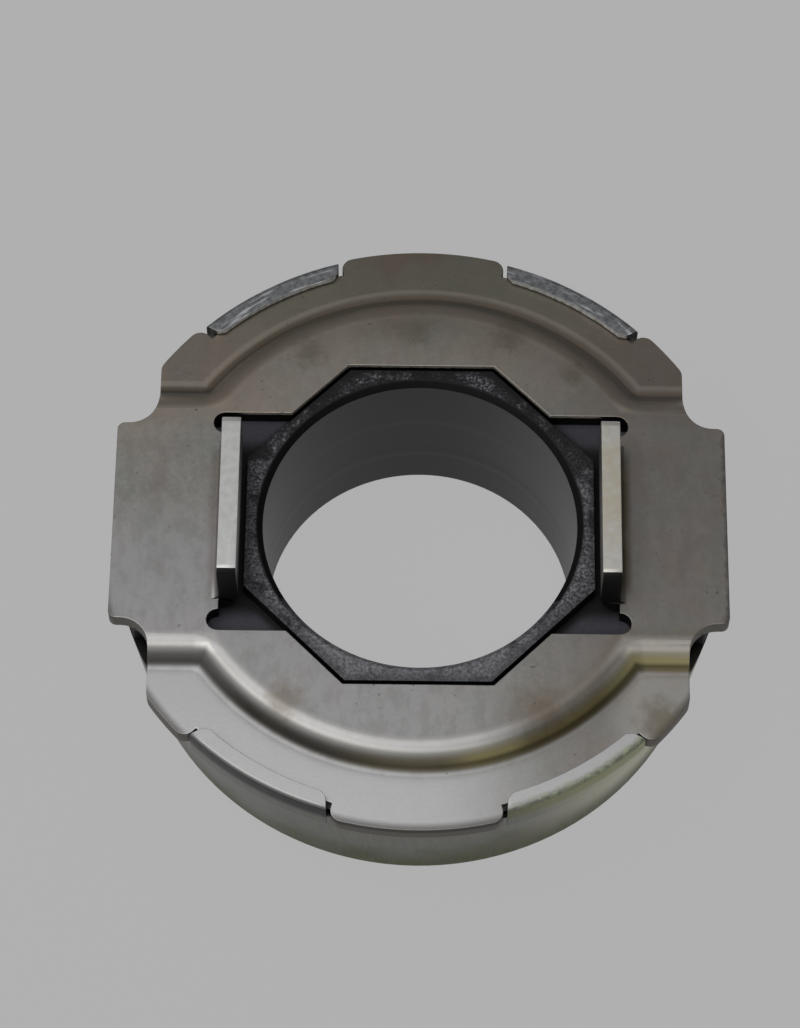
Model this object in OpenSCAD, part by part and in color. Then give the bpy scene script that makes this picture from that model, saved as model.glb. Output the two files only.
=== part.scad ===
// Clutch release bearing. A sealed ball bearing floats sideways in a drawn steel cup. A joggled
// fork plate closes the cup, held by four crimped tabs, and traps the moulded guide sleeve.
// The axis is Z, with z = 0 on the face that pushes the diaphragm spring, and +Z to the fork.

/* [Guide sleeve] */
// Bore that slides on the gearbox guide tube
bore_d = 33; // [30:0.5:36]
// Wall of the sleeve
sleeve_wall = 1.8; // [1.4:0.1:2.6]
// Length of the sleeve
sleeve_len = 20.8; // [16:0.2:24]
// How far the collar lies below the raised face of the plate
collar_drop = 0.2; // [0:0.1:0.8]
// How far the flange reaches out from the sleeve
flange_reach = 5.5; // [4:0.1:6.5]
// Width of the two wings that reach out under the ears
wing_w = 24.2; // [18:0.2:25]
// Chamfer at the mouth of the bore
mouth_chamfer = 0.6; // [0.3:0.1:1.2]
// Chamfer at the free end of the bore
end_chamfer = 0.3; // [0.1:0.1:0.6]

/* [Fork plate] */
// Thickness of the sheet
sheet_t = 2; // [1.6:0.1:2.6]
// Step between the raised face and the two crescents
joggle_drop = 2; // [1.7:0.1:2.6]
// Slope of the step
joggle_slope = 45; // [40:1:55]
// Outside bend radius of the step
joggle_outer_r = 2; // [1.6:0.1:2.4]
// Inside bend radius of the step
joggle_inner_r = 1.4; // [1:0.1:1.8]
// How much the sheet thins on the step
joggle_thinning = 0.14; // [0:0.02:0.3]
// Radius that joins the round and the straight run of the step, in plan
joggle_corner_r = 4; // [3:0.1:5]
// How far the crescents reach past the rim of the cup
crescent_reach = 2; // [1.7:0.1:2.6]
// Rounding of the corners at the cut ends of the crescents
crescent_corner_r = 1.5; // [0.8:0.1:2.4]
// How far the ears reach past the rim of the cup
ear_reach = 0.1; // [0:0.1:1.5]
// Width of the ears
ear_w = 23; // [20:0.2:24]
// How far the sides of the ears run from their ends to the notches
ear_side = 1.2; // [1:0.1:2]
// Radius of the notch between an ear and a crescent
ear_notch_r = 3; // [2.4:0.1:3.4]
// Rounding of the corners of the ears
ear_corner_r = 0.8; // [0.3:0.1:1]
// Height of the lugs above the raised face
lug_h = 6.1; // [4:0.1:9]
// Length of the lugs
lug_len = 18.6; // [14:0.2:20]
// Inside bend radius of the lugs
lug_bend_r = 0.8; // [0.4:0.1:1.4]
// Rounding of the top corners of the lugs
lug_corner_r = 1; // [0.3:0.1:2]
// Length of the relief between a lug and the shoulder of the window
relief_len = 3.5; // [2.8:0.1:4]
// Diameter of the round end of the relief
relief_d = 2.4; // [2:0.1:2.8]

/* [Cup] */
// Thickness of the cup sheet
cup_wall = 1; // [0.8:0.1:1.3]
// Taper of the cup wall, in degrees
cup_taper = 5.4; // [3:0.2:7]
// Outside radius of the lower corner of the cup
cup_corner_r = 2; // [1.6:0.1:2.6]
// How far the tabs are set out from the rim
tab_set = 1.45; // [1.3:0.05:1.6]
// How far the tabs lap over the crescents
tab_lap = 0.7; // [0.5:0.1:1.2]
// Thickness of the lap, which is pressed flat
tab_lap_t = 0.8; // [0.6:0.05:1]
// Inside bend radius of the tabs
tab_bend_r = 0.15; // [0.1:0.05:0.3]
// Outside bend radius of the tabs, pressed sharp
tab_fold_r = 0.45; // [0.3:0.05:0.6]
// Angle that each tab takes up at its fold
tab_angle = 28.2; // [20:0.2:32]
// How much narrower the tabs are at their free edge, at each end
tab_flare = 0.6; // [0.3:0.05:0.9]
// Cut corners of the free edge of the tabs
tab_corner = 0.5; // [0.3:0.05:0.7]
// Angle of each tab from the middle of the crescent
tab_place = 30; // [26:0.5:33]
// Height below the rim at which the tabs leave the wall
tab_root = 3.2; // [2.4:0.2:5]
// Clear space beside each tab, in the plate and in the cup
tab_side_gap = 0.25; // [0.2:0.05:0.8]
// Rounding of the crescent beside each tab
tab_slot_corner_r = 1.3; // [0.6:0.1:1.5]

/* [Bearing] */
// Diameter of a ball
ball_d = 6.35; // [5.5:0.05:6.8]
// Number of balls
ball_n = 18; // [14:1:19]
// Contact angle of the balls
contact_angle = 30; // [20:1:35]
// Radius of the race groove as a multiple of the ball radius
race_fit = 1.04; // [1.03:0.005:1.06]
// Wall of the inner ring under its race
inner_wall = 1.2; // [1:0.05:1.6]
// Wall of the outer ring behind its race
outer_wall = 1.15; // [1:0.05:1.6]
// Width of the outer ring
ring_w = 13.55; // [12.5:0.05:15]
// How far the inner ring stops below the top of the outer ring
inner_drop = 0.75; // [0.4:0.05:1.5]
// Height of the nose of the inner ring below the cup
nose_h = 3.2; // [2:0.1:5]
// Rounding of the nose
nose_edge_r = 0.8; // [0.4:0.1:1.2]
// Height of the race shoulders, from the pitch circle
shoulder_rise = 1.3; // [1.1:0.05:1.5]
// Height of the relieved shoulders, from the pitch circle
relieved_rise = 2.2; // [2:0.05:2.4]
// Thickness of the cage wall
cage_t = 1.8; // [1.4:0.1:2]
// Height of the cage ring under the pockets
cage_ring_h = 1.2; // [0.8:0.1:1.6]
// Height of the cage prongs above the ball centres
prong_h = 1.8; // [1.4:0.1:2.2]
// Gap between two prongs
prong_gap = 1; // [0.6:0.1:1.2]
// Thickness of a seal
seal_t = 1.2; // [0.8:0.1:1.4]
// Step that a seal sits against
seal_step = 0.6; // [0.4:0.05:0.8]
// Depth of a seal below the face of the outer ring
seal_depth = 0.6; // [0.3:0.1:1]

/* [Wave spring] */
// Installed height of the spring
spring_h = 3.1; // [2.4:0.1:3.6]
// Thickness of the spring strip
spring_t = 0.5; // [0.3:0.05:0.7]
// Width of the spring strip
spring_w = 1.2; // [0.9:0.05:1.4]
// Number of waves
spring_waves = 4; // [3:1:6]

/* [Fits] */
// How far the bearing can shift to each side to centre itself
float_travel = 0.8; // [0.4:0.05:1]
// Space left between the sleeve and the inner ring at full shift
sleeve_clear = 0.5; // [0.4:0.05:1]
// Space left between the cup and the outer ring at full shift
cup_clear = 0.4; // [0.35:0.05:0.8]
// Space left between the lip of the cup and the nose at full shift
lip_clear = 0.4; // [0.3:0.05:0.8]
// Space between a ball and its races
race_gap = 0.05; // [0.04:0.005:0.08]
// Space between a ball and its cage pocket
pocket_gap = 0.15; // [0.1:0.01:0.2]
// Space between the lip of a seal and the inner ring
seal_gap = 0.15; // [0.1:0.05:0.3]
// Space between flat faces that bear on each other
seat_gap = 0.05; // [0.02:0.01:0.1]
// Space between the collar and the window of the plate
window_gap = 0.45; // [0.3:0.05:0.8]
// Space between the collar and the lugs
lug_gap = 0.5; // [0.2:0.05:0.8]
// Space between the flange and the step of the plate
flange_clear = 0.75; // [0.4:0.05:1.2]
// Space between the ends of the wings and the edge of the rim
wing_inset = 0.1; // [0:0.05:0.5]

/* [Hidden] */
$fn = 96;

// Radii, from the bore outwards
bore_r = bore_d / 2;
sleeve_r = bore_r + sleeve_wall;
flange_r = sleeve_r + flange_reach;
inner_bore_r = sleeve_r + sleeve_clear + float_travel;
ball_r = ball_d / 2;
pitch_r = inner_bore_r + inner_wall + race_gap + ball_r;
ring_r = pitch_r + ball_r + race_gap + outer_wall;
cup_in_r = ring_r + float_travel + cup_clear;
cup_r = cup_in_r + cup_wall;
cup_corner_in_r = cup_corner_r - cup_wall;
spring_r = cup_in_r - cup_corner_in_r - float_travel;
spring_in_r = spring_r - spring_w;
lip_r = spring_in_r - float_travel;
nose_r = lip_r - float_travel - lip_clear;

// Heights, from the contact face upwards
floor_z = nose_h + cup_wall;
ring_z = floor_z + spring_h + 2 * seat_gap;
ring_top_z = ring_z + ring_w;
ball_z = ring_z + ring_w / 2;
rim_z = ring_top_z + seat_gap;
crescent_z = rim_z + sheet_t;
raised_under_z = rim_z + joggle_drop;
raised_z = raised_under_z + sheet_t;
collar_z = raised_z - collar_drop;
sleeve_z = collar_z - sleeve_len;

// Cup wall and rim
cup_corner_z = nose_h + cup_corner_r;
wall_foot_r = cup_r - cup_corner_r * (1 - cos(cup_taper));
wall_foot_z = cup_corner_z - cup_corner_r * sin(cup_taper);
function wall_r(z) = wall_foot_r + (z - wall_foot_z) * tan(cup_taper);
rim_r = wall_r(rim_z);

// Tabs and the slots that they pass through
tab_r = rim_r + tab_set;
tab_in_r = tab_r - cup_wall;
tab_inset = 0.05;
tab_edge_r = tab_in_r - tab_bend_r - tab_lap;
tab_slot_r = tab_in_r - tab_bend_r - seat_gap;
tab_half = tab_angle / 2;
tab_slot_angle = tab_half + atan(tab_side_gap / tab_in_r);
tab_fold_end = tab_r * [cos(tab_half), sin(tab_half)];
tab_free_end = tab_edge_r * [cos(tab_half), sin(tab_half)] + tab_flare * [sin(tab_half), -cos(tab_half)];
tab_angles = [for (side = [90, 270], turn = [-tab_place, tab_place]) side + turn];

// Step of the plate, with u measured outwards from its middle line
joggle_sum_r = joggle_outer_r + joggle_inner_r;
joggle_straight = (joggle_drop - joggle_sum_r * (1 - cos(joggle_slope))) / sin(joggle_slope);
joggle_w = joggle_sum_r * sin(joggle_slope) + joggle_straight * cos(joggle_slope);
joggle_bend_diff = joggle_outer_r - joggle_inner_r;
joggle_level_t = joggle_bend_diff * sin(joggle_slope)
    + (sheet_t - joggle_bend_diff * (1 - cos(joggle_slope))) / tan(joggle_slope);
joggle_shift = max(0, (sheet_t - joggle_thinning) / sin(joggle_slope) - joggle_level_t);
joggle_in = -joggle_w / 2 - joggle_shift;
dome_r = flange_r + flange_clear - joggle_in;
channel_y = wing_w / 2 + flange_clear - joggle_in;
blend_lap = 0.06;
corner_y = channel_y + joggle_corner_r - blend_lap;
corner_x = sqrt((dome_r + joggle_corner_r - blend_lap) ^ 2 - corner_y ^ 2);

// Plate outline, window and lugs
crescent_r = rim_r + crescent_reach;
ear_x = rim_r + ear_reach;
notch_x = ear_x - ear_side;
notch_y = ear_w / 2 + ear_notch_r;
crescent_x = notch_x - ear_notch_r - crescent_corner_r;
crescent_turn = acos(crescent_x / (crescent_r - crescent_corner_r));
lug_in_x = sleeve_r + lug_gap;
lug_x = lug_in_x + sheet_t;
lug_foot_x = lug_x + lug_bend_r;
window_half = sleeve_r + window_gap;
window_y = lug_len / 2 + relief_len;

// Races, cage and seals
race_r = ball_r * race_fit;
race_offset = race_r - ball_r - race_gap;
inner_land_r = pitch_r - shoulder_rise;
inner_relief_r = pitch_r - relieved_rise;
outer_land_r = pitch_r + shoulder_rise;
outer_relief_r = pitch_r + relieved_rise;
rear_seal_r = outer_land_r + seal_step;
front_seal_r = outer_relief_r + seal_step;
rear_seal_z = ring_top_z - seal_depth - seal_t;
front_seal_z = ring_z + seal_depth;
inner_top_z = ring_top_z - inner_drop;
pocket_r = ball_r + pocket_gap;
cage_z = ball_z - pocket_r - cage_ring_h;
edge_break = 0.4;
arc_steps = 8;
spring_steps = 96;
cut = 0.5;

BALLS = [for (i = [1 : ball_n]) str("ball_", i < 10 ? "0" : "", i)];

// Points of an arc about c, from angle a to angle b
function arc(c, r, a, b) =
    [for (i = [0 : arc_steps]) let (t = a + (b - a) * i / arc_steps) c + r * [cos(t), sin(t)]];

// The S of one face of the step, from its high edge at [u, z] down to its low edge
function step_curve(u, z, high_r, low_r) = concat(
    arc([u, z - high_r], high_r, 90, 90 - joggle_slope),
    arc([u + joggle_w, z - joggle_drop + low_r], low_r, 270 - joggle_slope, 270)
);

function reversed(list) = [for (i = [len(list) - 1 : -1 : 0]) list[i]];

// A closed outline from its first quadrant, which ends on the Y axis
function all_round(quarter) = let (
    half = concat(quarter, [for (i = [len(quarter) - 2 : -1 : 0]) [-quarter[i][0], quarter[i][1]]])
) concat(half, [for (p = half) -p]);

// Copies the children into all four quadrants
module quadrants() {
    for (x = [0, 1], y = [0, 1])
        mirror([x, 0, 0])
            mirror([0, y, 0])
                children();
}

// Solid below one face of the step: the dome, the channel across it and their blended corners
module mesa(curve, low_z) {
    high_z = curve[0][1];
    foot_u = curve[len(curve) - 1][0];
    side = concat(curve, [[foot_u, low_z]]);
    rotate_extrude()
        polygon(concat([[0, low_z], [0, high_z]], [for (p = side) [dome_r + p[0], p[1]]]));
    rotate([90, 0, 90])
        linear_extrude(2 * (ear_x + cut), center = true)
            polygon(concat(
                [for (p = side) [channel_y + p[0], p[1]]],
                [for (p = reversed(side)) [-channel_y - p[0], p[1]]]
            ));
    quadrants()
        difference() {
            translate([0, 0, low_z])
                linear_extrude(high_z - low_z)
                    polygon([
                        [corner_x, corner_y],
                        [corner_x, corner_y / 2],
                        [corner_x, corner_y] / 2
                    ]);
            translate([corner_x, corner_y, 0])
                rotate_extrude()
                    polygon(concat(
                        [[0, high_z + cut], [joggle_corner_r - curve[0][0], high_z + cut]],
                        [for (p = side) [joggle_corner_r - p[0], p[1]]],
                        [[joggle_corner_r - foot_u, low_z - cut], [0, low_z - cut]]
                    ));
        }
}

// Outer edge of the plate: an ear, the notch beside it, and a crescent with a slot for a tab
function plate_outline() = let (
    slot_from = 90 - tab_place - tab_slot_angle,
    slot_to = 90 - tab_place + tab_slot_angle,
    round_r = tab_slot_corner_r,
    reach = crescent_r - round_r,
    turn = asin(round_r / reach)
) all_round(concat(
    arc([ear_x, ear_w / 2] - ear_corner_r * [1, 1], ear_corner_r, 0, 90),
    arc([notch_x, notch_y], ear_notch_r, 270, 180),
    arc([crescent_x, crescent_x * tan(crescent_turn)], crescent_corner_r, 0, crescent_turn),
    arc([0, 0], crescent_r, crescent_turn, slot_from - turn),
    arc(reach * [cos(slot_from - turn), sin(slot_from - turn)], round_r, slot_from - turn, 90 + slot_from),
    arc([0, 0], tab_slot_r, slot_from, slot_to),
    arc(reach * [cos(slot_to + turn), sin(slot_to + turn)], round_r, slot_to - 90, slot_to + turn),
    arc([0, 0], crescent_r, slot_to + turn, 90)
));

// Opening for the collar, with the room that the lugs were bent from and their round reliefs
function plate_window() = all_round(concat(
    [[lug_foot_x, lug_len / 2], [lug_x, lug_len / 2]],
    arc([lug_x, window_y - relief_d / 2], relief_d / 2, -90, 90),
    [
        [window_half * sqrt(2) - window_y, window_y],
        [window_half * tan(22.5), window_half],
        [0, window_half]
    ]
));

// One lug, bent up from the edge of the window on the +X side
module lug() {
    bend = [lug_foot_x, raised_z + lug_bend_r];
    top_z = raised_z + lug_h;
    corner = [lug_len / 2 - lug_corner_r, top_z - lug_corner_r];
    intersection() {
        rotate([90, 0, 0])
            linear_extrude(lug_len, center = true)
                polygon(concat(
                    [[lug_foot_x + cut, raised_z]],
                    arc(bend, lug_bend_r, 270, 180),
                    [[lug_x, top_z], [lug_in_x, top_z]],
                    arc(bend, lug_bend_r + sheet_t, 180, 270),
                    [[lug_foot_x + cut, raised_under_z]]
                ));
        rotate([90, 0, 90])
            linear_extrude(lug_foot_x + 2 * cut)
                polygon(concat(
                    [[lug_len / 2, raised_under_z]],
                    arc(corner, lug_corner_r, 0, 90),
                    arc([-corner[0], corner[1]], lug_corner_r, 90, 180),
                    [[-lug_len / 2, raised_under_z]]
                ));
    }
}

module fork_plate() {
    top_face = step_curve(-joggle_w / 2, raised_z, joggle_outer_r, joggle_inner_r);
    under_face = step_curve(joggle_in, raised_under_z, joggle_inner_r, joggle_outer_r);
    color("#8d8a84") {
        intersection() {
            difference() {
                union() {
                    translate([0, 0, rim_z])
                        cylinder(r = crescent_r + cut, h = sheet_t);
                    mesa(top_face, rim_z);
                }
                mesa(under_face, rim_z - cut);
            }
            translate([0, 0, rim_z - cut])
                linear_extrude(raised_z - rim_z + 2 * cut)
                    difference() {
                        polygon(plate_outline());
                        polygon(plate_window());
                    }
        }
        for (side = [0, 1])
            mirror([side, 0, 0])
                lug();
    }
}

module guide_sleeve() {
    color("#232326")
        difference() {
            union() {
                translate([0, 0, sleeve_z])
                    cylinder(r = sleeve_r, h = sleeve_len - collar_drop);
                translate([0, 0, rim_z])
                    linear_extrude(joggle_drop) {
                        circle(r = flange_r);
                        intersection() {
                            circle(r = rim_r - wing_inset);
                            square([2 * rim_r, wing_w], center = true);
                        }
                    }
                translate([0, 0, rim_z])
                    rotate([0, 0, 22.5])
                        cylinder(r = sleeve_r / cos(22.5), h = collar_z - rim_z, $fn = 8);
            }
            translate([0, 0, sleeve_z - cut])
                cylinder(r = bore_r, h = sleeve_len + 2 * cut);
            translate([0, 0, collar_z - mouth_chamfer])
                cylinder(r1 = bore_r, r2 = bore_r + mouth_chamfer, h = mouth_chamfer);
            translate([0, 0, sleeve_z])
                cylinder(r1 = bore_r + end_chamfer, r2 = bore_r, h = end_chamfer);
        }
}

// Section of one face of a tab: up from inside the wall, out, past the plate and over the crescent.
// The offset moves it inwards through the sheet.
function tab_face(offset, fold_r, top_z) = let (
    root_z = rim_z - tab_root,
    root_r = wall_r(root_z) - tab_inset,
    foot_z = root_z - cut,
    set_z = rim_z - cup_wall
) concat(
    [for (i = [0 : arc_steps])
        let (t = i / arc_steps)
            [root_r + (tab_r - root_r) * t * t * (3 - 2 * t) - offset, foot_z + (set_z - foot_z) * t]],
    arc([tab_r - offset - fold_r, top_z - fold_r], fold_r, 0, 90),
    [[tab_edge_r, top_z]]
);

// One tab about the +X side, narrower at its free edge, with the corners cut off
module tab() {
    under_z = crescent_z + seat_gap;
    top_z = under_z + tab_lap_t;
    side = tab_fold_end - tab_free_end;
    inner = tab_free_end - side;
    outer = tab_fold_end + side;
    along = tab_corner * side / norm(side);
    across = tab_corner * [tab_free_end[1], -tab_free_end[0]] / norm(tab_free_end);
    difference() {
        intersection() {
            rotate([0, 0, -tab_angle])
                rotate_extrude(angle = 2 * tab_angle)
                    polygon(concat(
                        tab_face(0, tab_fold_r, top_z),
                        reversed(tab_face(cup_wall, tab_bend_r, under_z))
                    ));
            translate([0, 0, nose_h])
                linear_extrude(top_z)
                    polygon([inner, outer, [outer[0], -outer[1]], [inner[0], -inner[1]]]);
        }
        for (end = [0, 1])
            mirror([0, end, 0])
                translate([0, 0, crescent_z])
                    linear_extrude(tab_lap_t + cut)
                        polygon([
                            tab_free_end + 2 * along - across,
                            tab_free_end + 2 * across - along,
                            tab_free_end - 2 * along - 2 * across
                        ]);
    }
}

module bearing_cup() {
    corner = [cup_r - cup_corner_r, cup_corner_z];
    color("#5d5d57") {
        difference() {
            rotate_extrude()
                polygon(concat(
                    [[lip_r, nose_h]],
                    arc(corner, cup_corner_r, 270, 360 - cup_taper),
                    [[rim_r, rim_z], [rim_r - cup_wall, rim_z]],
                    arc(corner, cup_corner_in_r, 360 - cup_taper, 270),
                    [[lip_r, floor_z]]
                ));
            for (a = tab_angles)
                rotate([0, 0, a - tab_slot_angle])
                    rotate_extrude(angle = 2 * tab_slot_angle)
                        translate([cup_in_r - cut, rim_z - tab_root])
                            square([rim_r - cup_in_r + 2 * cut, tab_root + cut]);
        }
        for (a = tab_angles)
            rotate([0, 0, a])
                tab();
    }
}

// Wavy washer with a rectangular strip, four points to each step round the ring
module wave_spring() {
    mid_z = floor_z + seat_gap + spring_h / 2;
    rise = (spring_h - spring_t) / 2;
    strip = [
        [spring_in_r, -spring_t / 2],
        [spring_r, -spring_t / 2],
        [spring_r, spring_t / 2],
        [spring_in_r, spring_t / 2]
    ];
    color("#6f7276")
        polyhedron(
            points = [
                for (i = [0 : spring_steps - 1], p = strip)
                    let (a = 360 * i / spring_steps)
                        [p[0] * cos(a), p[0] * sin(a), mid_z + rise * cos(spring_waves * a) + p[1]]
            ],
            faces = [
                for (i = [0 : spring_steps - 1], k = [0 : 3])
                    let (here = 4 * i, next = 4 * ((i + 1) % spring_steps), m = (k + 1) % 4)
                        [here + k, here + m, next + m, next + k]
            ]
        );
}

module outer_ring() {
    color("#a9acb0")
        rotate_extrude()
            difference() {
                polygon([
                    [front_seal_r, ring_z],
                    [ring_r - edge_break, ring_z],
                    [ring_r, ring_z + edge_break],
                    [ring_r, ring_top_z - edge_break],
                    [ring_r - edge_break, ring_top_z],
                    [rear_seal_r, ring_top_z],
                    [rear_seal_r, rear_seal_z],
                    [outer_land_r, rear_seal_z],
                    [outer_land_r, ball_z],
                    [outer_relief_r, ball_z],
                    [outer_relief_r, front_seal_z + seal_t],
                    [front_seal_r, front_seal_z + seal_t]
                ]);
                translate([pitch_r, ball_z] - race_offset * [cos(contact_angle), sin(contact_angle)])
                    circle(r = race_r);
            }
}

module inner_ring() {
    nose_in = [inner_bore_r + nose_edge_r, nose_edge_r];
    nose_out = [nose_r - nose_edge_r, nose_edge_r];
    nose_top_z = ring_z - edge_break;
    color("#b4b6b9")
        rotate_extrude()
            difference() {
                polygon(concat(
                    arc(nose_in, nose_edge_r, 180, 270),
                    arc(nose_out, nose_edge_r, 270, 360),
                    [
                        [nose_r, nose_top_z - (nose_r - inner_land_r)],
                        [inner_land_r, nose_top_z],
                        [inner_land_r, ball_z],
                        [inner_relief_r, ball_z],
                        [inner_relief_r, inner_top_z - edge_break],
                        [inner_relief_r - edge_break, inner_top_z],
                        [inner_bore_r + edge_break, inner_top_z],
                        [inner_bore_r, inner_top_z - edge_break]
                    ]
                ));
                translate([pitch_r, ball_z] + race_offset * [cos(contact_angle), sin(contact_angle)])
                    circle(r = race_r);
            }
}

// Crown cage that the balls snap into from above
module ball_cage() {
    color("#c9b98f")
        difference() {
            translate([0, 0, cage_z])
                rotate_extrude()
                    translate([pitch_r - cage_t / 2, 0])
                        square([cage_t, ball_z + prong_h - cage_z]);
            for (i = [1 : ball_n]) {
                rotate([0, 0, 360 * i / ball_n])
                    translate([pitch_r, 0, ball_z])
                        sphere(r = pocket_r);
                rotate([0, 0, 360 * (i + 0.5) / ball_n])
                    translate([pitch_r - cage_t, -prong_gap / 2, ball_z])
                        cube([2 * cage_t, prong_gap, prong_h + cut]);
            }
        }
}

// Seal ring with a thin lip that points at the inner ring
module seal(z, in_r, out_r) {
    lip_w = seal_t;
    translate([0, 0, z])
        rotate_extrude()
            polygon([
                [in_r, seal_t / 3],
                [in_r + lip_w, 0],
                [out_r, 0],
                [out_r, seal_t],
                [in_r + lip_w, seal_t],
                [in_r, seal_t * 2 / 3]
            ]);
}

module rear_seal() {
    color("#2b2522")
        seal(rear_seal_z, inner_relief_r + seal_gap, rear_seal_r);
}

module front_seal() {
    color("#2b2522")
        seal(front_seal_z, inner_land_r + seal_gap, front_seal_r);
}

module ball(i) {
    color("#d7d9dc")
        rotate([0, 0, 360 * i / ball_n])
            translate([pitch_r, 0, ball_z])
                sphere(r = ball_r);
}

fork_plate();
guide_sleeve();
bearing_cup();
wave_spring();
outer_ring();
inner_ring();
ball_cage();
rear_seal();
front_seal();
for (i = [1 : ball_n])
    ball(i);
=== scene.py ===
import math

import bpy
from mathutils import Matrix, Vector


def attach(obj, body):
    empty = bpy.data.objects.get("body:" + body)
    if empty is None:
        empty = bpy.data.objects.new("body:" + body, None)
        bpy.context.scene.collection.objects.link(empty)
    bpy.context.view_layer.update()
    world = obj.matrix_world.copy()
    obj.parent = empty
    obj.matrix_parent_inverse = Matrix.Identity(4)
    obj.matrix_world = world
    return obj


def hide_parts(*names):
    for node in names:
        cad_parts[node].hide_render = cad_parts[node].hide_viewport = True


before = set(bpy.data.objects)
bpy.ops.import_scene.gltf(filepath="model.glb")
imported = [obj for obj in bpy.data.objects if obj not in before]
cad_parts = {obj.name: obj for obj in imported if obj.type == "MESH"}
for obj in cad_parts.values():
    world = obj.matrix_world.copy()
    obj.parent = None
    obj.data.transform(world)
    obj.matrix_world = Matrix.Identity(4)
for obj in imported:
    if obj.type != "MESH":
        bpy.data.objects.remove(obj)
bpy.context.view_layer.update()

# Bearing cup
# Deep-drawn from 1 mm strip, tapered, with a grey-green skin on which light and shade are painted. Four
# tabs are lanced at the rim and crimped over the plate, and the closing tool has scuffed the far two.


class Shade:
    """One value in a material's node tree. Arithmetic on it adds Math nodes to the tree."""

    def __init__(self, tree, socket=None):
        self.tree = tree
        self.socket = socket

    def node(self, kind, settings=None, inputs=None, out=0):
        """One of a new node's outputs. Its settings are set before its inputs."""
        made = self.tree.nodes.new("ShaderNode" + kind)
        for name, value in (settings or {}).items():
            setattr(made, name, value)
        for name, value in (inputs or {}).items():
            if isinstance(value, Shade):
                self.tree.links.new(value.socket, made.inputs[name])
            else:
                made.inputs[name].default_value = value
        return Shade(self.tree, made.outputs[out])

    def maths(self, operation, first, second):
        """A Math node of any operation."""
        return self.node("Math", {"operation": operation}, {0: first, 1: second})

    def __add__(self, other):
        return self.maths("ADD", self, other)

    def __radd__(self, other):
        return self.maths("ADD", other, self)

    def __sub__(self, other):
        return self.maths("SUBTRACT", self, other)

    def __rsub__(self, other):
        return self.maths("SUBTRACT", other, self)

    def __mul__(self, other):
        return self.maths("MULTIPLY", self, other)

    def __rmul__(self, other):
        return self.maths("MULTIPLY", other, self)

    def __truediv__(self, other):
        return self.maths("DIVIDE", self, other)

    def __rtruediv__(self, other):
        return self.maths("DIVIDE", other, self)

    def __pow__(self, other):
        return self.maths("POWER", self, other)

    def __rpow__(self, other):
        return self.maths("POWER", other, self)

    def __abs__(self):
        return self.maths("ABSOLUTE", self, 0)

    def into(self, shader, socket):
        """Links this value to one of a shader's inputs."""
        self.tree.links.new(self.socket, shader.inputs[socket])


MM = 0.001


def tone(red, green, blue):
    """A colour from its 0 to 255 screen values."""
    return tuple(((c / 255 + 0.055) / 1.055) ** 2.4 for c in (red, green, blue)) + (1,)


def new_finish(name, metallic=1, roughness=0.5):
    """A material with its shader, ready for a pattern, which can take over either value."""
    material = bpy.data.materials.new(name)
    material.use_nodes = True
    shader = material.node_tree.nodes["Principled BSDF"]
    shader.inputs["Metallic"].default_value = metallic
    shader.inputs["Roughness"].default_value = roughness
    return material, shader, Shade(material.node_tree)


def place(shade):
    """Where a point lies on the piece, in millimetres: the vector, then x, y and z."""
    spot = shade.node("TexCoord", out="Object")
    spot = shade.node("VectorMath", {"operation": "SCALE"}, {0: spot, "Scale": 1 / MM})
    return [spot] + [shade.node("SeparateXYZ", inputs={0: spot}, out=i) for i in range(3)]


def noise(spot, size, detail=3, stretch=(1, 1, 1), roughness=0.5):
    """Cloudy values from 0 to 1 whose blots are about size millimetres across."""
    if stretch != (1, 1, 1):
        spot = spot.node("VectorMath", {"operation": "DIVIDE"}, {0: spot, 1: stretch})
    return spot.node("TexNoise", inputs={"Vector": spot, "Scale": 1 / size, "Detail": detail,
                                         "Roughness": roughness})


def rise(value, low, high):
    """0 below low, 1 above high, and smooth between."""
    return value.node("MapRange", {"interpolation_type": "SMOOTHSTEP"},
                      {"Value": value, "From Min": low, "From Max": high})


def mix(factor, first, second):
    """From the first colour to the second as the factor goes from 0 to 1."""
    return factor.node("Mix", {"data_type": "RGBA"}, {0: factor, 6: first, 7: second}, 2)


def bump(height, shader, depth):
    """Raises the surface by the height, up to a depth in millimetres."""
    made = height.node("Bump", inputs={"Height": height, "Distance": depth * MM, "Strength": 1})
    made.into(shader, "Normal")


MERGE_GAP = 0.002 * MM
SPLIT_TURN = 0.3
FLAT_ANGLE = math.radians(0.2)
EDGE_ANGLE = math.radians(40)
SMOOTH_ANGLE = math.radians(38)


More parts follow.
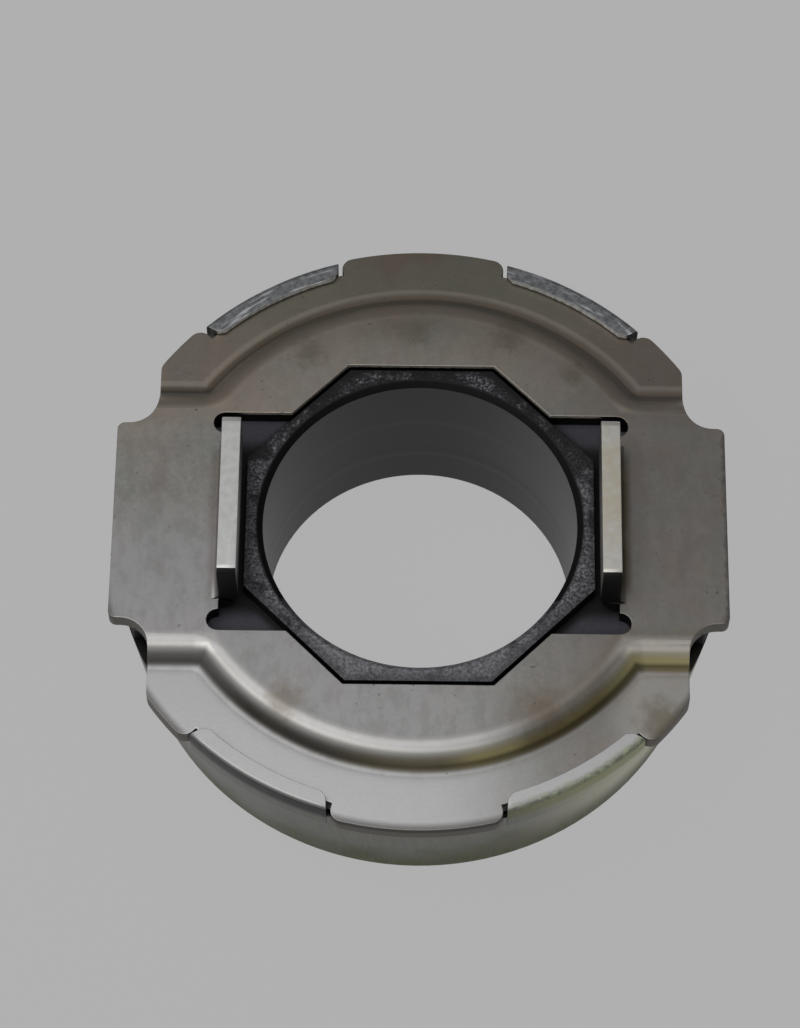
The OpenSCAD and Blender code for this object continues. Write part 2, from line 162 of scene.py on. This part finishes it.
def dressed(node, body, break_width, finishes, finish_of, covered=None):
    """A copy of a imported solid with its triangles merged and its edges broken, which stands for it. The
    width of a broken edge is in millimetres, and finish_of gives a face's place in the finishes.
    Faces that covered picks are taken off, and the hole is filled up to its edges. Two cuts through
    the axis keep a ring-shaped face from being merged into one face with a hole."""
    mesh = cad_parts[node].data.copy()
    piece = bpy.data.objects.new(node + "_skin", mesh)
    bpy.context.scene.collection.objects.link(piece)
    mesh.materials.clear()
    for finish in finishes:
        mesh.materials.append(finish)
    bpy.ops.object.select_all(action="DESELECT")
    piece.select_set(True)
    bpy.context.view_layer.objects.active = piece
    bpy.ops.mesh.customdata_custom_splitnormals_clear()
    bpy.ops.object.mode_set(mode="EDIT")
    bpy.ops.mesh.select_all(action="SELECT")
    bpy.ops.mesh.remove_doubles(threshold=MERGE_GAP)
    if covered:
        bpy.ops.mesh.select_mode(type="FACE")
        bpy.ops.mesh.select_all(action="DESELECT")
        bpy.ops.object.mode_set(mode="OBJECT")
        for face in mesh.polygons:
            face.select = covered(face.center / MM, face.normal)
        bpy.ops.object.mode_set(mode="EDIT")
        bpy.ops.mesh.delete(type="FACE")
        bpy.ops.mesh.select_mode(type="EDGE")
        bpy.ops.mesh.select_non_manifold(extend=False)
        bpy.ops.mesh.fill()
        bpy.ops.mesh.select_all(action="SELECT")
        bpy.ops.mesh.normals_make_consistent(inside=False)
    for turn in (SPLIT_TURN, SPLIT_TURN + math.pi / 2):
        across = (math.cos(turn), math.sin(turn), 0)
        bpy.ops.mesh.select_all(action="SELECT")
        bpy.ops.mesh.bisect(plane_co=(0, 0, 0), plane_no=across, threshold=1e-7)
        bpy.ops.mesh.mark_seam()
    bpy.ops.mesh.select_all(action="SELECT")
    bpy.ops.mesh.dissolve_limited(angle_limit=FLAT_ANGLE, delimit={"SEAM"})
    bpy.ops.object.mode_set(mode="OBJECT")
    edge = piece.modifiers.new("broken edges", "BEVEL")
    edge.width = break_width * MM
    edge.segments = 2
    edge.limit_method = "ANGLE"
    edge.angle_limit = EDGE_ANGLE
    edge.use_clamp_overlap = False
    bpy.ops.object.modifier_apply(modifier=edge.name)
    for face in mesh.polygons:
        face.material_index = finish_of(face.center / MM, face.normal)
    bpy.ops.object.shade_smooth_by_angle(angle=SMOOTH_ANGLE)
    flat = piece.modifiers.new("flat faces", "WEIGHTED_NORMAL")
    flat.keep_sharp = True
    bpy.ops.object.modifier_apply(modifier=flat.name)
    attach(piece, body)
    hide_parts(node)
    return piece


# Where the tabs fold and end, in millimetres, and the places of their finishes in the list.
FOLD_RADIUS = 33
TAB_FOOT_Z = 23
TAB_EDGE_RADIUS = 31.7
TAB_FINISH = 1
CUT_FINISH = 2

cup_steel, cup_shader, cup_shade = new_finish("cup_steel")
spot, x, y, z = place(cup_shade)
draw_lines = noise(spot, 1, 4, (0.5, 0.5, 7))
skin = noise(spot, 6, 4)
steel = mix(rise(draw_lines, 0.3, 0.7), tone(117, 116, 111), tone(132, 131, 125))
# Painted light: the left side of the wall is paler.
steel = mix(rise(0 - x, 8, 22) * 0.4, steel, tone(152, 152, 154))
# Painted shade: the wall darkens towards the bottom, mottled, and greener at the front.
lower_shade = rise(0.5 * skin + (13 - z) * 0.06 + x * 0.006, 0.2, 0.75)
front = 1 - rise(y, -16, -2)
steel = mix(lower_shade * (0.45 + 0.55 * front), steel, mix(front, tone(92, 92, 78), tone(78, 80, 44)))
# Painted highlight: a pale sheen on the near right of the wall.
steel = mix(front * rise(x, 8, 24) * rise(z, 5, 12) * 0.88, steel, tone(208, 207, 186))
radius = (x * x + y * y) ** 0.5
fold_shade = rise(radius, FOLD_RADIUS - 0.1, FOLD_RADIUS + 0.3) * rise(z, TAB_FOOT_Z - 2, TAB_FOOT_Z - 0.6)
# Painted shade: the rim is near black beside the plate's notches, under the ears.
notch_shade = rise(abs(x), 25.5, 27) * rise(z, 18, 19.5) * (1 - rise(abs(y), 14.5, 17))
# Painted shade under the tabs' folds, which is a pale green-grey at the near right.
under_fold = mix(front * rise(x, 0, 18), tone(46, 46, 48), tone(150, 152, 112))
steel = mix(fold_shade * 0.85, steel, under_fold)
steel = mix(notch_shade * 0.95, steel, tone(20, 20, 21))
steel.into(cup_shader, "Base Color")
(0.36 + 0.16 * draw_lines).into(cup_shader, "Roughness")
bump(draw_lines + 0.5 * noise(spot, 0.3), cup_shader, 0.008)

tab_steel, tab_shader, tab_shade = new_finish("crimped_tab_steel")
spot, x, y, z = place(tab_shade)
radius = (x * x + y * y) ** 0.5
scuff = noise(spot, 0.7, 5, roughness=0.65)
far = rise(y, -6, 6)
steel = mix(rise(scuff, 0.35, 0.62), tone(134, 135, 138), tone(166, 167, 168))
around = x.maths("ARCTAN2", y, x) * FOLD_RADIUS
along = tab_shade.node("CombineXYZ", inputs={0: around / 4, 1: radius * 2, 2: 0})
steel = mix(rise(noise(along, 1, 4), 0.55, 0.68) * 0.9, steel, tone(236, 237, 240))
clean = mix(scuff, tone(198, 197, 196), tone(212, 211, 210))
# Painted shade: the near tabs' fold is darker, which tones down its highlight.
clean = mix(rise(radius, FOLD_RADIUS, FOLD_RADIUS + 0.4), clean, tone(150, 149, 148))
# The near right tabs' outer rims carry a greenish film and are less metallic there.
near_rim = rise(radius + 1.2 * scuff, FOLD_RADIUS + 0.2, FOLD_RADIUS + 0.8) * rise(x, 2, 16) * (1 - far)
film = mix(rise(scuff, 0.4, 0.6), tone(126, 130, 110), tone(168, 174, 144))
clean = mix(near_rim * 0.85, clean, film)
mix(far, clean, steel).into(tab_shader, "Base Color")
(1 - 0.75 * near_rim).into(tab_shader, "Metallic")
(0.5 - 0.18 * far + 0.25 * scuff * far).into(tab_shader, "Roughness")
bump(scuff * (0.08 + 0.92 * far), tab_shader, 0.02)

cut_steel, cut_shader, cut_shade = new_finish("sheared_tab_steel", 0.1)
spot, x, y, z = place(cut_shade)
tear = noise(spot, 0.5, 4, (1, 1, 2.5))
cut = mix(rise(tear, 0.35, 0.65), tone(192, 189, 182), tone(228, 226, 220))
# Painted shade: the far tabs' cut edges are dark along their foot.
low = 1 - rise(z + 0.3 * tear, TAB_FOOT_Z + 0.35, TAB_FOOT_Z + 0.6)
mix(low * rise(y, -6, 6) * 0.9, cut, tone(40, 38, 32)).into(cut_shader, "Base Color")
(0.42 + 0.2 * tear).into(cut_shader, "Roughness")
bump(tear, cut_shader, 0.03)


def cup_finish(middle, normal):
    """The tabs' pressed tops are scuffed, and their free edges are cut."""
    if middle.z > TAB_FOOT_Z + 0.1 and normal.z > 0.35:
        return TAB_FINISH
    if middle.z > TAB_FOOT_Z and middle.xy.length < TAB_EDGE_RADIUS + 0.3:
        return CUT_FINISH
    return 0


cup = dressed("bearing_cup", "carrier", break_width=0.08, finishes=[cup_steel, tab_steel, cut_steel],
              finish_of=cup_finish)

# Wave spring
# A wavy washer of blued strip. It stands on the cup's floor and presses the outer ring up against the
# plate, so that friction holds the bearing where it has centred itself.

spring_steel, spring_shader, spring_shade = new_finish("blued_spring_steel", 1, 0.35)
spot = place(spring_shade)[0]
mix(noise(spot, 3), tone(92, 98, 112), tone(128, 126, 124)).into(spring_shader, "Base Color")
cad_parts["wave_spring"].data.materials[0] = spring_steel

# Bearing rings
# Ground rings of bearing steel. The inner ring turns, and its nose is polished by the fingers of the
# diaphragm spring.

ring_steel, ring_shader, ring_shade = new_finish("ground_ring_steel")
spot, x, y, z = place(ring_shade)
radius = (x * x + y * y) ** 0.5
lines = ring_shade.node("CombineXYZ", inputs={0: radius * 9, 1: z * 9, 2: 0})
grind = noise(lines, 1, 4)
mix(grind, tone(168, 168, 170), tone(206, 206, 208)).into(ring_shader, "Base Color")
(0.18 + 0.2 * grind).into(ring_shader, "Roughness")
bump(grind, ring_shader, 0.004)
for node in ("outer_ring", "inner_ring"):
    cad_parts[node].data.materials[0] = ring_steel

# Balls
# Lapped steel balls, mirror bright under a film of grease. They run between the two rings, and the cage
# spaces them.

ball_steel, ball_shader, ball_shade = new_finish("lapped_ball_steel", 1, 0.08)
spot = place(ball_shade)[0]
mix(noise(spot, 1.5), tone(196, 198, 202), tone(224, 224, 222)).into(ball_shader, "Base Color")
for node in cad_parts:
    if node.startswith("ball_") and node != "ball_cage":
        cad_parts[node].data.materials[0] = ball_steel

# Ball cage
# A crown cage moulded in natural nylon and yellowed by grease. It snaps over the balls and goes round
# with them.

cage_nylon, cage_shader, cage_shade = new_finish("natural_nylon", 0, 0.45)
spot = place(cage_shade)[0]
mix(noise(spot, 2.5), tone(196, 176, 132), tone(214, 198, 160)).into(cage_shader, "Base Color")
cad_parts["ball_cage"].data.materials[0] = cage_nylon

# Seals
# Nitrile rubber lips moulded on a stiff ring. One is pressed into each end of the outer ring, and keeps
# the grease in.

seal_rubber, seal_shader, seal_shade = new_finish("seal_rubber", 0, 0.6)
spot = place(seal_shade)[0]
mix(noise(spot, 1.2), tone(34, 30, 28), tone(52, 47, 44)).into(seal_shader, "Base Color")
for node in ("rear_seal", "front_seal"):
    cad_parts[node].data.materials[0] = seal_rubber

# Guide sleeve
# Moulded in black glass-filled nylon. The collar's face is rough and shows the fibres, and the bore is
# smooth and polished in rings by the guide tube.

# The bore, its chamfered mouth and the collar's top, in millimetres, and the places of two finishes.
BORE_RADIUS = 16.5
MOUTH_RADIUS = 17.1
COLLAR_Z = 24.8
SIDE_FINISH = 1
BORE_FINISH = 2

nylon, nylon_shader, nylon_shade = new_finish("black_nylon", 0)
spot, x, y, z = place(nylon_shade)
fibre = noise(spot, 0.34, 4, roughness=0.72)
cloud = noise(spot, 2.2, 3)
octagon = x.maths("MAXIMUM", abs(x), abs(y))
octagon = x.maths("MAXIMUM", octagon, (abs(x) + abs(y)) / math.sqrt(2))

# The collar's face: grey with pale fibres, darker on the outer edge, with black smudges. Painted shade
# makes the far side darker and the far window edge black, and a painted sheen makes the near side paler.
collar = mix(rise(fibre, 0.4, 0.62), tone(50, 50, 53), tone(134, 133, 138))
away = rise(y, 4, 12)
collar = mix(away * (1 - rise(fibre, 0.5, 0.62)) * 0.6, collar, tone(12, 12, 13))
collar = mix(rise(fibre + 0.04 * away, 0.65, 0.76), collar, tone(200, 199, 204))
collar = mix(rise(0 - y, 6, 17) * 0.3, collar, tone(156, 156, 160))
collar = mix(rise(octagon + 0.8 * cloud, 17.2, 18.6) * 0.55, collar, tone(36, 36, 38))
collar = mix(rise(noise(spot, 0.9, 4), 0.5, 0.62) * 0.35, collar, tone(30, 30, 32))
collar = mix(rise(cloud + y * 0.008, 0.52, 0.66) * 0.8, collar, tone(16, 16, 17))
collar = mix(rise(octagon + 2 * cloud, 18.3, 19.2) * rise(y, 8, 14) * 0.85, collar, tone(12, 12, 12))

# The flange below it: slate, and painted black as shade close to the collar and the lugs. The mouth's
# edge is painted black as shade too.
flange = mix(fibre, tone(50, 48, 55), tone(78, 75, 84))
flange = mix(1 - rise(octagon, 18.5, 19.6), flange, tone(8, 8, 9))
flange = mix(rise(abs(x), 16, 17.5) * (1 - rise(abs(y), 9, 11)), flange, tone(6, 6, 7))
face = mix(rise(z, COLLAR_Z - 1.3, COLLAR_Z - 1.2), flange, collar)
radius = (x * x + y * y) ** 0.5
mouth = (1 - rise(radius + 0.3 * cloud, MOUTH_RADIUS + 0.1, MOUTH_RADIUS + 0.5)) * rise(y, -15, -6)
face = mix(mouth, face, tone(5, 5, 5))
face.into(nylon_shader, "Base Color")
(0.5 + 0.2 * fibre).into(nylon_shader, "Roughness")
bump(fibre, nylon_shader, 0.04)
nylon_shader.inputs["Specular IOR Level"].default_value = 0.32

# Painted shade: the collar's sides and most of its mouth are a near-black copy of the nylon.
shaded_nylon_side, side_shader, side_shade = new_finish("black_nylon_shaded_sides", 0, 0.6)
spot = place(side_shade)[0]
mix(noise(spot, 0.6), tone(9, 9, 10), tone(20, 20, 22)).into(side_shader, "Base Color")
side_shader.inputs["Specular IOR Level"].default_value = 0.2

bore_skin, bore_shader, bore_shade = new_finish("black_nylon_bore", 0)
spot, x, y, z = place(bore_shade)
rings = noise(bore_shade.node("CombineXYZ", inputs={0: z * 1.6, 1: 0, 2: 0}), 1, 3)
wall = mix(rings, tone(36, 36, 35), tone(50, 50, 49))
# Painted light makes the bore's right wall paler, and painted shade darkens it deeper down.
wall = mix(rise(x, 3, 15), wall, mix(rings, tone(60, 60, 61), tone(74, 74, 76)))
wall = mix((1 - rise(z, 8, 15)) * 0.45, wall, tone(24, 24, 23))
for ring_z, ring_tone in ((16.6, tone(70, 70, 70)), (10.6, tone(18, 18, 18)), (9.5, tone(66, 66, 66))):
    wall = mix((1 - rise(abs(z - ring_z), 0.15, 0.7)) * 0.5, wall, ring_tone)
wall.into(bore_shader, "Base Color")
(0.32 + 0.15 * rings).into(bore_shader, "Roughness")
bore_shader.inputs["Specular IOR Level"].default_value = 0.38


def sleeve_finish(middle, normal):
    """The bore is smooth, and the sides of the collar and most of its mouth are painted black as shade."""
    radius = middle.xy.length
    upright = abs(normal.z) < 0.5
    in_mouth = radius < MOUTH_RADIUS + 0.1 and middle.z > COLLAR_Z - 0.8 and normal.z < 0.97
    if radius < BORE_RADIUS + 0.1 and upright:
        return BORE_FINISH
    if in_mouth and middle.y > -9:
        return SIDE_FINISH
    return SIDE_FINISH if radius > MOUTH_RADIUS + 0.6 and upright else 0


def collar_top(middle, normal):
    """The collar's flat top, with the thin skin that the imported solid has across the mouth's chamfer."""
    return middle.z > COLLAR_Z - 0.1 and abs(normal.z) > 0.9


sleeve = dressed("guide_sleeve", "carrier", break_width=0.1, finishes=[nylon, shaded_nylon_side, bore_skin],
                 finish_of=sleeve_finish, covered=collar_top)

# Fork plate
# Pressed from 2 mm strip: blanked, joggled over the sleeve's flange, and its two lugs bent up from the
# window. The cup's four tabs hold it. The skin is satin with warm patches, and drawing oil has dried
# yellow in the near step. The cut edges are dull but for the window's far lip and the lugs' tops. Light
# and shade are painted on the skin, the steps and the cut edges, and the lugs' ends are painted dark as
# shade.

# The middle of the step, the ends of the blank, its heights and the lugs, in millimetres, and the places
# of three finishes.
STEP_RADIUS = 26.64
STEP_Y = 14.94
EAR_X = 32.2
RIM_RADIUS = 34.1
WORN_RADIUS = 28
CRESCENT_Z = 23
RAISED_Z = 25
LUG_IN_X = 18.8
LUG_FOOT_X = 21.6
LUG_END_Y = 9.3
LUG_TOP_Z = 31.1
EDGE_FINISH = 1
LUG_TOP_FINISH = 2
LUG_END_FINISH = 3

plate_steel, plate_shader, plate_shade = new_finish("plate_steel")
spot, x, y, z = place(plate_shade)
patch = noise(spot, 5, 3)
grain = noise(spot, 0.45, 4)
streak = noise(spot, 1, 3, (0.35, 9, 9))
radius = (x * x + y * y) ** 0.5
near = 1 - rise(y, -4, 4)
far = rise(y, 18, 30)

# The rolled skin: warm patches, grain and mottles, painted paler at the near left as light.
steel = mix(rise(patch, 0.38, 0.62), tone(156, 156, 151), tone(163, 158, 153))
steel = mix(rise(grain, 0.3, 0.8) * 0.5, steel, tone(180, 177, 172))
steel = mix(near * (1 - rise(x, -2, 14)) * 0.5, steel, tone(186, 185, 188))
mottle = rise(noise(spot, 1.7, 5, (0.7, 1.4, 1), 0.6), 0.4, 0.66)
steel = mix(mottle * 0.22, steel, tone(118, 115, 108))

# The far side is browner, with an olive crescent painted darker as shade. The right side is darker, and
# its ear has a dark edge.
brown = rise(y, 3, 14) * rise(noise(spot, 9, 3) + y * 0.01, 0.4, 0.8)
steel = mix(brown * 0.5, steel, tone(176, 161, 145))
steel = mix(far * 0.7, steel, tone(122, 121, 106))
steel = mix(far * rise(noise(spot, 8, 2) + x * 0.006, 0.5, 0.62) * 0.5, steel, tone(138, 118, 106))
steel = mix(rise(x, 2, 22) * (1 - far) * 0.5, steel, tone(130, 125, 120))
steel = mix(rise(noise(spot, 0.55, 2), 0.71, 0.77) * 0.6, steel, tone(80, 76, 70))
steel = mix(rise(x + 1.2 * noise(spot, 0.8), EAR_X, EAR_X + 0.6) * 0.6, steel, tone(84, 80, 76))

# Painted shade in the bends at the lugs' feet, dark brown at the right lug, a flush on the right ear, and
# an arc of wear on both ears.
lug_foot_shade = rise(abs(x), LUG_FOOT_X - 1, LUG_FOOT_X - 0.7)
lug_foot_shade = lug_foot_shade * (1 - rise(abs(x), LUG_FOOT_X - 0.1, LUG_FOOT_X + 0.8))
lug_foot_shade = lug_foot_shade * (1 - rise(abs(y), LUG_END_Y - 2.8, LUG_END_Y + 0.2))
lug_foot_shade = lug_foot_shade * (0.4 + 0.35 * rise(x, -1, 1))
steel = mix(lug_foot_shade, steel, mix(rise(x, -1, 1), tone(132, 118, 110), tone(84, 72, 50)))
flush = rise(noise(spot, 3, 4), 0.45, 0.6) * rise(x, 12, 24)
steel = mix(flush * 0.28, steel, tone(148, 128, 118))
worn = (1 - rise(abs(radius - WORN_RADIUS), 0.2, 1.1)) * (1 - rise(abs(y), 5, 11)) * rise(patch, 0.4, 0.6)
steel = mix(worn * 0.2, steel, tone(118, 108, 100))

# The step: how far out a point lies from the middle of the slope, and the parts of the bend by that.
step = x.maths("MINIMUM", radius - STEP_RADIUS, abs(y) - STEP_Y)
fall = rise(step, -0.75, 0.5)
crescent_light = rise(step, 1, 2.3)

# The near step: a painted highlight on its crest, a paler crescent beside its foot as painted light, dried
# oil on the slope with painted shade on its left part, and a dark crease at its foot.
steel = mix(near * crescent_light * (1 - rise(x, 0, 17)) * 0.85, steel, tone(207, 206, 207))
steel = mix(near * crescent_light * rise(x, 18, 23) * 0.55, steel, tone(196, 193, 188))
dull = rise(x, 5, 11) * (1 - rise(x, 18, 21.5))
crest_highlight = near * (1 - fall) * (1 - 0.75 * dull)
steel = mix(crest_highlight * rise(step, -2.3, -1.3) * 0.8, steel, tone(206, 204, 202))
steel = mix(crest_highlight * rise(step, -0.95, -0.45) * 0.9, steel, tone(248, 244, 238))
steel = mix(near * rise(step, -4, -1) * (1 - fall) * rise(x, 9, 16) * 0.35, steel, tone(128, 112, 82))
oil_and_shade = mix(rise(x, -13, 4), tone(74, 71, 65), tone(136, 126, 98))
oil_and_shade = mix(rise(x, 2, 7) * (1 - rise(x, 9, 14)) * 0.9, oil_and_shade, tone(208, 195, 138))
oil_and_shade = mix(rise(x, 9, 14) * (1 - rise(x, 18, 22)), oil_and_shade, tone(160, 146, 98))
oil_and_shade = mix(rise(x, 18, 22), oil_and_shade, tone(212, 200, 146))
oil_and_shade = mix(1 - rise(x, -22, -17), oil_and_shade, tone(116, 114, 110))
steel = mix(near * fall * (1 - rise(step, 0.85, 1.35)) * 0.92, steel, oil_and_shade)
crease = rise(step, 0.35, 0.8) * (1 - rise(step, 1.0, 1.5))
steel = mix(near * crease * (0.35 + 0.35 * rise(x, -2, 8)), steel, tone(48, 44, 38))

# The far step: a soft light edge painted as a highlight above a brown hollow painted as shade. The near
# crescent is painted darker at its rim as shade.
away = 1 - near
steel = mix(away * rise(step, 1.8, 2.6) * (1 - far) * 0.4, steel, tone(118, 102, 88))
steel = mix(away * rise(step, -4.2, -1) * (1 - rise(step, -1, 0)) * 0.22, steel, tone(108, 96, 82))
steel = mix(away * rise(step, -2, -1.1) * (1 - rise(step, 0.3, 0.9)) * 0.62, steel, tone(180, 167, 152))
hollow_shade = mix(rise(x, -18, -6), tone(100, 88, 74), tone(122, 110, 98))
steel = mix(away * rise(step, 0.9, 1.4) * (1 - rise(step, 1.8, 2.3)) * 0.85, steel, hollow_shade)
steel = mix(away * rise(step, 2.1, 2.5) * (1 - rise(step, 2.6, 2.9)) * 0.4, steel, tone(186, 174, 160))
steel = mix(near * rise(radius, RIM_RADIUS - 1, RIM_RADIUS - 0.1) * 0.75, steel, tone(96, 92, 88))


def blot(centre, size):
    """A ragged stain of about a size in millimetres round a point of the plate."""
    reach = ((x - centre[0]) ** 2 + (y - centre[1]) ** 2) ** 0.5
    ragged = size * (noise(spot, size / 2, 4) - 0.5) * 1.6
    return 1 - rise(reach + ragged, size * 0.1, size * 1.4)


steel = mix(blot((12.4, -21.2), 3) * 0.5, steel, tone(118, 98, 74))
steel = mix(blot((-13.6, -20.6), 2.2) * 0.45, steel, tone(124, 106, 78))
steel = mix(blot((25, -21.5), 2.6) * 0.6, steel, tone(116, 102, 78))
for centre, size in (((16.2, 18), 1.5), ((-0.6, 23), 2.2), ((9.4, 22.4), 1.8), ((-12, 20.4), 2)):
    steel = mix(blot(centre, size) * 0.4, steel, tone(104, 100, 76))
steel.into(plate_shader, "Base Color")
bent = 1 - rise(abs(step), 1.2, 3)
(0.38 + 0.1 * grain + 0.06 * patch + 0.12 * bent).into(plate_shader, "Roughness")
bump(grain + 0.4 * streak, plate_shader, 0.006)

# The window's edge is painted black as shade below a far lip painted bright as a highlight. The outer edge
# is grey, and painted dark as shade at the near rim.
edge_steel, edge_shader, edge_shade = new_finish("sheared_plate_steel", 0.7)
spot, x, y, z = place(edge_shade)
tear = noise(spot, 0.5, 4, (1, 1, 2.5))
steel = mix(tear, tone(92, 88, 83), tone(128, 123, 116))
lit = rise(z + 0.25 * tear, RAISED_Z - 0.35, RAISED_Z - 0.2)
lit = lit * rise(y, 4, 8) * (1 - rise(abs(x), LUG_IN_X - 0.3, LUG_IN_X + 0.7))
lip = mix(lit, tone(12, 12, 11), tone(224, 216, 200))
near_rim = (1 - rise(y, -30, -24)) * rise(z + 0.3 * tear, CRESCENT_Z - 0.8, CRESCENT_Z - 0.4)
steel = mix(near_rim * 0.7, steel, tone(52, 50, 44))
outer = rise((x * x + y * y) ** 0.5, 26, 27)
mix(outer, lip, steel).into(edge_shader, "Base Color")
(0.42 + 0.2 * tear).into(edge_shader, "Roughness")

lug_top_steel, lug_shader, lug_shade = new_finish("lug_top_steel", 0.7)
spot, x, y, z = place(lug_shade)
steel = mix(noise(spot, 0.8, 4), tone(196, 195, 192), tone(238, 237, 234))
warm = rise(x, 4, 10) * (1 - 0.6 * rise(abs(y - 1), 3, 8)) * rise(noise(spot, 1.2, 4), 0, 0.7)
steel = mix(warm * 0.8, steel, tone(208, 197, 172))
steel.into(lug_shader, "Base Color")

# Painted shade: the lugs' ends are near black.
lug_end_painted_shade, end_shader, end_shade = new_finish("lug_end_painted_shade", 0.5, 0.6)
spot = place(end_shade)[0]
mix(noise(spot, 0.7, 4), tone(10, 10, 9), tone(26, 24, 22)).into(end_shader, "Base Color")


def plate_finish(middle, normal):
    """The lugs have bright tops and ends painted dark as shade, and the blank's cut edges are sheared."""
    across, along = abs(middle.x), abs(middle.y)
    on_lug = LUG_IN_X - 0.2 < across < LUG_FOOT_X + 0.1 and LUG_END_Y - 1.3 < along < LUG_END_Y + 0.1
    if on_lug and (normal.y < -0.3 or normal.y > 0.9):
        return LUG_END_FINISH
    if middle.z > LUG_TOP_Z - 1.1 and normal.z > 0.4:
        return LUG_TOP_FINISH
    return EDGE_FINISH if abs(normal.z) < 0.3 and middle.z < RAISED_Z + 0.6 else 0


plate = dressed("fork_plate", "carrier", break_width=0.1,
                finishes=[plate_steel, edge_steel, lug_top_steel, lug_end_painted_shade], finish_of=plate_finish)

# Studio
# A pale grey floor that shows hardly any shadow, one wide soft lamp above the near left, and a dim sky.
# The camera stands where the photograph was taken from.

FLOOR_TONE = tone(178, 178, 178)
PLAIN_SHARE = 0.95
bpy.ops.object.select_all(action="DESELECT")
bpy.ops.mesh.primitive_plane_add(size=6)
floor = bpy.context.object
floor.name = "floor"
floor_paint = bpy.data.materials.new("floor_paint")
floor_paint.use_nodes = True
tree = floor_paint.node_tree
tree.nodes.clear()
floor_shade = Shade(tree)
seen = floor_shade.node("LightPath", out="Is Camera Ray")
glossy = floor_shade.node("LightPath", out="Is Glossy Ray")
clear = floor_shade.node("LightPath", out="Is Transmission Ray")
matt = floor_shade.node("BsdfDiffuse", inputs={"Color": FLOOR_TONE})
plain = floor_shade.node("Emission", inputs={"Color": FLOOR_TONE, "Strength": 1})
share = (seen + glossy + clear) * PLAIN_SHARE
surface = floor_shade.node("MixShader", inputs={0: share, 1: matt, 2: plain})
output = tree.nodes.new("ShaderNodeOutputMaterial")
surface.into(output, "Surface")
floor.data.materials.append(floor_paint)

SKY_TINT = (0.9, 0.95, 1, 1)
SKY_STRENGTH = 0.12
world = bpy.data.worlds.new("studio")
world.use_nodes = True
sky = world.node_tree.nodes["Background"]
sky.inputs["Color"].default_value = SKY_TINT
sky.inputs["Strength"].default_value = SKY_STRENGTH
bpy.context.scene.world = world

# The lamp keeps an area light's own direction, straight down. Its sizes are in metres.
LAMP_SPOT = (-0.2, -0.11, 0.375)
LAMP_WIDTH = 0.58
LAMP_DEPTH = 0.44
LAMP_POWER = 1.3
light = bpy.data.lights.new("softbox", "AREA")
light.shape = "RECTANGLE"
light.size = LAMP_WIDTH
light.size_y = LAMP_DEPTH
light.energy = LAMP_POWER
softbox = bpy.data.objects.new("softbox", light)
softbox.location = LAMP_SPOT
bpy.context.scene.collection.objects.link(softbox)

LOOK_AT = Vector((0, 0, 25 * MM))
ELEVATION = math.radians(62.74)
DISTANCE = 395 * MM
ROLL = math.radians(0.65)
FOCAL_LENGTH = 132
SENSOR_WIDTH = 36
IMAGE_WIDTH, IMAGE_HEIGHT = 800, 1028
AIM_PIXEL = (420, 521.5)
camera_data = bpy.data.cameras.new("camera")
camera_data.lens = FOCAL_LENGTH
camera_data.sensor_width = SENSOR_WIDTH
camera_data.clip_start = 0.01
camera_data.shift_x = (IMAGE_WIDTH / 2 - AIM_PIXEL[0]) / IMAGE_HEIGHT
camera_data.shift_y = (AIM_PIXEL[1] - IMAGE_HEIGHT / 2) / IMAGE_HEIGHT
camera = bpy.data.objects.new("camera", camera_data)
bpy.context.scene.collection.objects.link(camera)
toward = Vector((0, -math.cos(ELEVATION), math.sin(ELEVATION)))
aim = Matrix.Rotation(math.pi / 2 - ELEVATION, 4, "X") @ Matrix.Rotation(ROLL, 4, "Z")
camera.matrix_world = Matrix.Translation(LOOK_AT + toward * DISTANCE) @ aim
bpy.context.scene.camera = camera
bpy.context.scene.view_settings.view_transform = "Standard"
